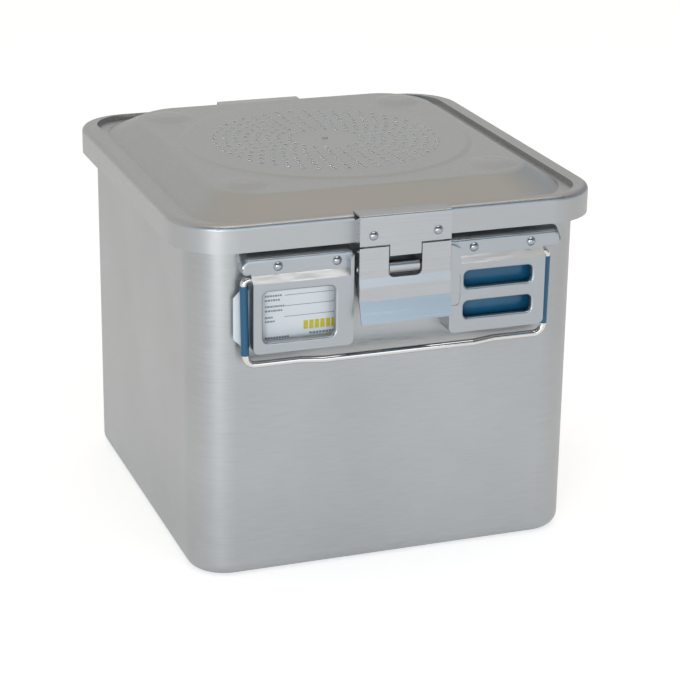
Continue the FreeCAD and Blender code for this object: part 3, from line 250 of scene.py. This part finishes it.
sleeve_finish = Finish("blue_silicone", BLUE, roughness=0.32)
sleeve_finish.bump(sleeve_finish.noise(scale=1200.0), 0.1, 0.00003)
sleeve_finish.paint(*both_ends("handle_sleeves"))

seal_finish = Finish("grey_silicone", (0.33, 0.34, 0.35), roughness=0.6)
seal_finish.bump(seal_finish.noise(scale=900.0), 0.1, 0.00003)
seal_finish.paint("lid_gasket")

tag_finish = Finish("blue_tag", BLUE, roughness=0.22)
tag_finish.vary_color(tag_finish.spread(tag_finish.noise(scale=30.0), 0.0, 1.0),
                      shade(BLUE, 0.9), shade(BLUE, 1.15))
tag_finish.bump(tag_finish.noise(scale=500.0), 0.06, 0.00003)
tag_finish.paint("front_tag")

paper_finish = Finish("card_paper", (0.88, 0.89, 0.90), roughness=0.55)
paper_finish.bump(paper_finish.noise(scale=2500.0, detail=5.0), 0.15, 0.00002)
paper_finish.paint("front_card", "filter_sheet")

knob_finish = Finish("knob_plastic", (0.13, 0.14, 0.15), roughness=0.5)
knob_finish.bump(knob_finish.noise(scale=1800.0), 0.2, 0.00002)
knob_finish.paint("retainer_knob")

# %% [markdown]
# ## A helper for small solid pieces
#
# The fine pieces are built as meshes straight at their place, so their objects stay at
# the origin. Each one is told which body of the frame it moves with, and which finish it
# gets.

# %% Helper for small solid pieces
CONTAINER = "container"


def finish_piece(name, mesh, finish, body):
    """Turns a bmesh into a piece at the origin that rides on a body."""
    data = bpy.data.meshes.new(name)
    mesh.to_mesh(data)
    mesh.free()
    piece = bpy.data.objects.new(name, data)
    bpy.context.scene.collection.objects.link(piece)
    data.materials.append(finish.material)
    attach(piece, body)
    print(name, "faces:", len(data.polygons))


# %% [markdown]
# ## Print on the card
#
# A card like this is a form: rows of captions, ruled lines to write on and one coloured
# field, all made here of plain bars. Ink has no thickness worth speaking of, so each bar
# is a flat tile a tenth of a millimetre proud of the paper.

# %% Card print
INK_HEIGHT = 0.08
CARD_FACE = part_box("front_card")[0][1] / MM
LEFT_MARGIN = -93.0


def add_tile(mesh, low, high):
    """Adds a closed box between two corners, in millimetres."""
    made = bmesh.ops.create_cube(mesh, size=1.0)
    for vertex in made["verts"]:
        share = vertex.co + Vector((0.5, 0.5, 0.5))
        vertex.co = Vector(low[i] + (high[i] - low[i]) * share[i] for i in range(3)) * MM


def bar_row(count, left, pitch, width, low_z, high_z):
    """Equal bars side by side: left, right, foot and top of each."""
    starts = [left + index * pitch for index in range(count)]
    return [(start, start + width, low_z, high_z) for start in starts]


def print_bars(name, bars, color):
    ink = Finish(name + "_ink", color, roughness=0.5)
    ink.bump(ink.noise(scale=2500.0), 0.1, 0.00002)
    mesh = bmesh.new()
    for low_x, high_x, low_z, high_z in bars:
        add_tile(mesh, Vector((low_x, CARD_FACE - INK_HEIGHT, low_z)),
                 Vector((high_x, CARD_FACE, high_z)))
    finish_piece(name, mesh, ink, "card_body")


LINES_Z = (203.3, 195.9, 188.4)
LINE_START, LINE_END, LINE_HALF = -79.5, -43.0, 0.14
rules = [(LINE_START, LINE_END, height - LINE_HALF, height + LINE_HALF) for height in LINES_Z]
print_bars("card_rules", rules, (0.10, 0.11, 0.13))

CAPTION_ROWS = ((203.6, 12.0), (200.6, 10.5), (196.2, 12.5), (193.2, 11.0), (188.6, 5.0),
                (185.8, 6.5))
CAPTION_HALF = 0.62
STROKE, STROKE_STEP, STROKE_GAP = 1.0, 0.35, 0.42
captions = []
for row, (height, width) in enumerate(CAPTION_ROWS):
    left, remaining = LEFT_MARGIN, width
    while remaining > 0:
        stroke = STROKE + STROKE_STEP * ((row * 3 + int(remaining)) % 3)
        captions.append((left, left + stroke, height - CAPTION_HALF, height + CAPTION_HALF))
        left += stroke + STROKE_GAP
        remaining -= stroke + STROKE_GAP
captions += bar_row(9, LEFT_MARGIN, 1.9, 1.45, 173.6, 174.9)
captions += bar_row(8, -62.0, 2.3, 1.8, 174.6, 175.9)
print_bars("card_captions", captions, (0.27, 0.28, 0.31))
print_bars("card_field", bar_row(6, -66.0, 3.9, 3.1, 178.2, 184.2), (0.72, 0.60, 0.05))

# %% [markdown]
# ## Hems on the label holders
#
# Each holder's top edge is folded over and leans back under the lid's skirt. From in front
# this hem is the light line between holder and lid. It is one section of bent sheet,
# carried along the edge in steps, and its height follows the round corner of the ear.

# %% Hems
HEM = ((-153.55, 229.6), (-153.34, 230.6), (-152.95, 231.2), (-152.55, 231.6),
       (-147.8, 235.2), (-147.8, 233.0), (-152.7, 231.0), (-152.9, 229.9))
EAR_RADIUS = 5.5
EAR_SHARES = (1.0, 0.75, 0.5, 0.3, 0.15, 0.05, 0.0)
BESIDE_LATCH = 35.7
HOLDERS = (("card", -1, 110.5), ("tag", 1, 117.5))


def hem_sections(side, outer):
    """Places along the edge, each with its height below the straight part."""
    steps = [(BESIDE_LATCH, 0.0)]
    for share in EAR_SHARES:
        reach = EAR_RADIUS * share
        drop = EAR_RADIUS - math.sqrt(EAR_RADIUS ** 2 - (EAR_RADIUS - reach) ** 2)
        steps.append((outer - reach, drop))
    return [(side * across, drop) for across, drop in steps]


def add_hem(mesh, side, outer, turn):
    """Carries the section along the edge and closes both ends."""
    rows = [[mesh.verts.new(Vector((turn * x, turn * y, z - drop)) * MM) for y, z in HEM]
            for x, drop in hem_sections(side, outer)]
    size = len(HEM)
    for first, second in zip(rows, rows[1:]):
        for corner in range(size):
            after = (corner + 1) % size
            mesh.faces.new((first[corner], first[after], second[after], second[corner]))
    mesh.faces.new(rows[0])
    mesh.faces.new(list(reversed(rows[-1])))
    bmesh.ops.recalc_face_normals(mesh, faces=mesh.faces)


for end, turn in zip(ENDS, (1, -1)):
    for label, side, outer in HOLDERS:
        mesh = bmesh.new()
        add_hem(mesh, side, outer, turn)
        finish_piece("%s_%s_hem" % (end, label), mesh, holder_finish, CONTAINER)

# %% [markdown]
# ## A helper for patterns
#
# Geometry Nodes are Blender's way to make what follows a rule. A tree has named sizes as
# inputs, arithmetic in the middle and a mesh at its end. The helper builds such a tree,
# runs it once and keeps the result as a plain mesh, so the finished piece needs no
# modifier.

# %% Helper that builds node trees for patterns


def arithmetic(tree, operation, *terms):
    """One Math node; a term is a number or another node's output."""
    node = tree.nodes.new("ShaderNodeMath")
    node.operation = operation
    for place, term in enumerate(terms):
        if isinstance(term, bpy.types.NodeSocket):
            tree.links.new(term, node.inputs[place])
        else:
            node.inputs[place].default_value = term
    return node.outputs[0]


class Pattern:
    """A Geometry Nodes tree with named sizes, and short calls for its arithmetic."""

    def __init__(self, name, **sizes):
        self.tree = bpy.data.node_groups.new(name, "GeometryNodeTree")
        self.tree.is_modifier = True
        sockets = self.tree.interface
        sockets.new_socket("Geometry", in_out="OUTPUT", socket_type="NodeSocketGeometry")
        self.sizes = {}
        for label, value in sizes.items():
            socket = sockets.new_socket(label, in_out="INPUT", socket_type="NodeSocketFloat")
            self.sizes[socket.identifier] = value
        self.given = self.tree.nodes.new("NodeGroupInput").outputs
        self.made = self.tree.nodes.new("NodeGroupOutput").inputs[0]

    def node(self, kind, **sockets):
        node = self.tree.nodes.new(kind)
        for label, value in sockets.items():
            target = node.inputs[label.replace("_", " ")]
            if isinstance(value, bpy.types.NodeSocket):
                self.tree.links.new(value, target)
            else:
                target.default_value = value
        return node

    def math(self, operation, *terms):
        return arithmetic(self.tree, operation, *terms)

    def finish(self, geometry, finish):
        realized = self.node("GeometryNodeRealizeInstances", Geometry=geometry)
        painted = self.node("GeometryNodeSetMaterial", Geometry=realized.outputs[0])
        painted.inputs["Material"].default_value = finish.material
        self.tree.links.new(painted.outputs[0], self.made)

    def piece(self, name, body, slot):
        """Runs the tree once and keeps its result as a plain mesh on a body."""
        carrier = bpy.data.objects.new(name, bpy.data.meshes.new(name + "_carrier"))
        bpy.context.scene.collection.objects.link(carrier)
        modifier = carrier.modifiers.new("pattern", "NODES")
        modifier.node_group = self.tree
        for identifier, value in self.sizes.items():
            modifier[identifier] = value
        graph = bpy.context.evaluated_depsgraph_get()
        mesh = bpy.data.meshes.new_from_object(carrier.evaluated_get(graph))
        carrier.modifiers.remove(modifier)
        carrier.data = mesh
        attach(carrier, body)
        print(name, "faces:", len(mesh.polygons))


print("pattern helper is ready")

# %% [markdown]
# ## Rims of the perforation
#
# The filter opening is punched from below, and each punch leaves a small raised rim. There
# are 272 of them, in rings where each ring has four holes more than the last. That is a
# rule, so Geometry Nodes make it: the number of a point gives its ring and its place in
# the ring, and a small torus is copied to each. The ring comes from a square root,
# because the holes inside it add up as a square.

# %% Rims around the holes
LID_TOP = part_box("lid")[1][2]
FIELD_BELOW_TOP = 0.0012
HOLES, MORE_PER_RING = 272, 4.0
ROUNDING_GUARD = 0.0001
RIM_SIDES, SECTION_SIDES = 10, 5

# The rims themselves are real, but their metal is much lighter than the lid's: a painted highlight
# that stands in for the light catching each rim.
rim_highlight_paint = Finish("rim_painted_highlight", (0.66, 0.68, 0.71), metallic=1.0, roughness=0.3)
rim_highlight_paint.vary_roughness(rim_highlight_paint.noise(scale=700.0), 0.24, 0.38)

rims = Pattern("perforation_rims", first_ring=0.0267, ring_pitch=0.0077, first_count=20.0,
               rim_radius=0.00172, rim_thickness=0.00046, height=LID_TOP - FIELD_BELOW_TOP)
number = rims.node("GeometryNodeInputIndex").outputs[0]
first_count = rims.given["first_count"]
half = rims.math("DIVIDE", rims.math("SUBTRACT", first_count, MORE_PER_RING / 2), MORE_PER_RING)
inside_root = rims.math("ADD", rims.math("MULTIPLY", half, half),
                        rims.math("DIVIDE", number, MORE_PER_RING / 2))
rings_inside = rims.math("SUBTRACT", rims.math("SQRT", inside_root), half)
ring = rims.math("FLOOR", rims.math("ADD", rings_inside, ROUNDING_GUARD))
count = rims.math("ADD", first_count, rims.math("MULTIPLY", ring, MORE_PER_RING))
growth = rims.math("ADD", rims.math("MULTIPLY", ring, MORE_PER_RING / 2), MORE_PER_RING / 2)
before = rims.math("MULTIPLY", ring, rims.math("SUBTRACT", count, growth))
share = rims.math("DIVIDE", rims.math("SUBTRACT", number, before), count)
angle = rims.math("MULTIPLY", share, math.tau)
radius = rims.math("ADD", rims.given["first_ring"],
                   rims.math("MULTIPLY", ring, rims.given["ring_pitch"]))
spot = rims.node("ShaderNodeCombineXYZ", X=rims.math("MULTIPLY", radius, rims.math("COSINE", angle)),
                 Y=rims.math("MULTIPLY", radius, rims.math("SINE", angle)),
                 Z=rims.given["height"])
points = rims.node("GeometryNodePoints", Count=HOLES, Position=spot.outputs[0])
rim_line = rims.node("GeometryNodeCurvePrimitiveCircle", Resolution=RIM_SIDES,
                     Radius=rims.given["rim_radius"])
rim_section = rims.node("GeometryNodeCurvePrimitiveCircle", Resolution=SECTION_SIDES,
                        Radius=rims.given["rim_thickness"])
rim = rims.node("GeometryNodeCurveToMesh", Curve=rim_line.outputs["Curve"],
                Profile_Curve=rim_section.outputs["Curve"])
copies = rims.node("GeometryNodeInstanceOnPoints", Points=points.outputs[0],
                   Instance=rim.outputs[0])
rims.finish(copies.outputs[0], rim_highlight_paint)
rims.piece("perforation_rims", "lid_body", "aluminium_satin")

# %% [markdown]
# ## Floor
#
# The floor is a matt pale sheet that keeps the shadow. Two rays see it brighter than it
# is: the camera's, so that it joins the white background, and a mirror's, so that metal
# shows that white as well. Matt surfaces get no more light from it.

# %% Floor
FLOOR_SIDE = 14.0
FLOOR_COLOR = (0.78, 0.78, 0.78, 1.0)
SEEN_GLOW, MIRRORED_GLOW = 0.56, 0.42

bpy.ops.mesh.primitive_plane_add(size=FLOOR_SIDE, location=(0, 0, 0))
floor = bpy.context.object
floor.name = "floor"
floor_finish = bpy.data.materials.new("white_floor")
floor_finish.use_nodes = True
tree = floor_finish.node_tree
tree.nodes.remove(tree.nodes["Principled BSDF"])
diffuse = tree.nodes.new("ShaderNodeBsdfDiffuse")
diffuse.inputs["Color"].default_value = FLOOR_COLOR
path = tree.nodes.new("ShaderNodeLightPath")
seen = arithmetic(tree, "MULTIPLY", path.outputs["Is Camera Ray"], SEEN_GLOW)
strength = arithmetic(tree, "MULTIPLY_ADD", path.outputs["Is Glossy Ray"], MIRRORED_GLOW, seen)
glow = tree.nodes.new("ShaderNodeEmission")
tree.links.new(strength, glow.inputs["Strength"])
both = tree.nodes.new("ShaderNodeAddShader")
tree.links.new(diffuse.outputs[0], both.inputs[0])
tree.links.new(glow.outputs[0], both.inputs[1])
tree.links.new(both.outputs[0], tree.nodes["Material Output"].inputs["Surface"])
floor.data.materials.append(floor_finish)
print("floor, metres a side:", FLOOR_SIDE)

# %% [markdown]
# ## Surroundings
#
# Satin metal has hardly a colour of its own: it shows a blurred picture of the room. So
# the room is given as a few broad areas: the front is pale blue like a window wall, the
# ceiling is warm, the right side is greyer, and the upper front is dark, as behind a
# photographer. Polished wire and rivets take their dark and bright lines from the borders
# between those areas. The camera itself sees plain white behind the floor.

# %% Surroundings
FRONT_SIDE, REAR_SIDE, CEILING = (0.55, 0.80, 1.0), (0.78, 0.78, 0.75), (0.80, 0.71, 0.62)
RIGHT_SIDE = (0.45, 0.48, 0.52)
BEHIND_CAMERA = (0.10, 0.10, 0.11)
FRONT_TO_REAR, TO_RIGHT, TO_CEILING = (-0.6, 0.3), (0.35, 0.8), (0.5, 0.9)
DARK_FOOT, DARK_TOP, DARK_FRONT = (0.32, 0.4), (0.86, 0.78), (-0.15, -0.4)
ROOM_STRENGTH = 0.95

world = bpy.data.worlds.new("studio")
bpy.context.scene.world = world
world.use_nodes = True
tree = world.node_tree
room_place = tree.nodes.new("ShaderNodeTexCoord")
axes = tree.nodes.new("ShaderNodeSeparateXYZ")
tree.links.new(room_place.outputs["Generated"], axes.inputs[0])


def room_border(axis, border):
    """Goes softly from 0 to 1 where a direction crosses the border."""
    node = tree.nodes.new("ShaderNodeMapRange")
    node.interpolation_type = "SMOOTHSTEP"
    node.inputs["From Min"].default_value, node.inputs["From Max"].default_value = border
    tree.links.new(axes.outputs[axis], node.inputs["Value"])
    return node.outputs["Result"]


def room_mix(factor, first, second):
    """Two areas of the room, each a colour or what was mixed before."""
    node = tree.nodes.new("ShaderNodeMix")
    node.data_type = "RGBA"
    for socket, value in (("A", first), ("B", second)):
        if isinstance(value, tuple):
            node.inputs[socket].default_value = (*value, 1.0)
        else:
            tree.links.new(value, node.inputs[socket])
    tree.links.new(factor, node.inputs["Factor"])
    return node.outputs["Result"]


room = room_mix(room_border("Y", FRONT_TO_REAR), FRONT_SIDE, REAR_SIDE)
room = room_mix(room_border("X", TO_RIGHT), room, RIGHT_SIDE)
room = room_mix(room_border("Z", TO_CEILING), room, CEILING)
dark_band = arithmetic(tree, "MULTIPLY", room_border("Z", DARK_FOOT), room_border("Z", DARK_TOP))
dark_area = arithmetic(tree, "MULTIPLY", dark_band, room_border("Y", DARK_FRONT))
room = room_mix(dark_area, room, BEHIND_CAMERA)

background = tree.nodes["Background"]
tree.links.new(room, background.inputs["Color"])
background.inputs["Strength"].default_value = ROOM_STRENGTH
white = tree.nodes.new("ShaderNodeBackground")
white.inputs["Color"].default_value = (1.0, 1.0, 1.0, 1.0)
path = tree.nodes.new("ShaderNodeLightPath")
choice = tree.nodes.new("ShaderNodeMixShader")
tree.links.new(path.outputs["Is Camera Ray"], choice.inputs[0])
tree.links.new(background.outputs[0], choice.inputs[1])
tree.links.new(white.outputs[0], choice.inputs[2])
tree.links.new(choice.outputs[0], tree.nodes["World Output"].inputs["Surface"])
print("nodes in the room's tree:", len(tree.nodes))

# %% [markdown]
# ## Lamps
#
# Three soft lamps help the room. The one at the left gives the long highlight on the
# rounded corner, the bluish one in front lights the card in its window, and the upper one
# shows the ramp and the studs of the lid. They are large and weak, so no shadow is hard.

# %% Lamps
WARM, COOL, MILD = (1.0, 0.99, 0.97), (0.84, 0.93, 1.0), (1.0, 0.98, 0.95)


def soft_lamp(name, position, aim, size, watts, color):
    light = bpy.data.lights.new(name, "AREA")
    light.shape = "RECTANGLE"
    light.size, light.size_y = size
    light.energy = watts
    light.color = color
    lamp = bpy.data.objects.new(name, light)
    bpy.context.scene.collection.objects.link(lamp)
    lamp.location = position
    direction = Vector(aim) - Vector(position)
    lamp.rotation_euler = direction.to_track_quat("-Z", "Y").to_euler()
    print(name, "watts:", watts)


soft_lamp("corner_lamp", (-1.05, -1.7, 0.32), (0, 0, 0.12), size=(0.4, 0.6), watts=7.0, color=WARM)
soft_lamp("front_lamp", (-0.1, -2.0, 0.55), (0, -0.15, 0.15), size=(1.8, 0.9), watts=6.0, color=COOL)
soft_lamp("upper_lamp", (0.1, -0.8, 2.0), (0, -0.1, 0.2), size=(1.6, 0.4), watts=5.0, color=MILD)
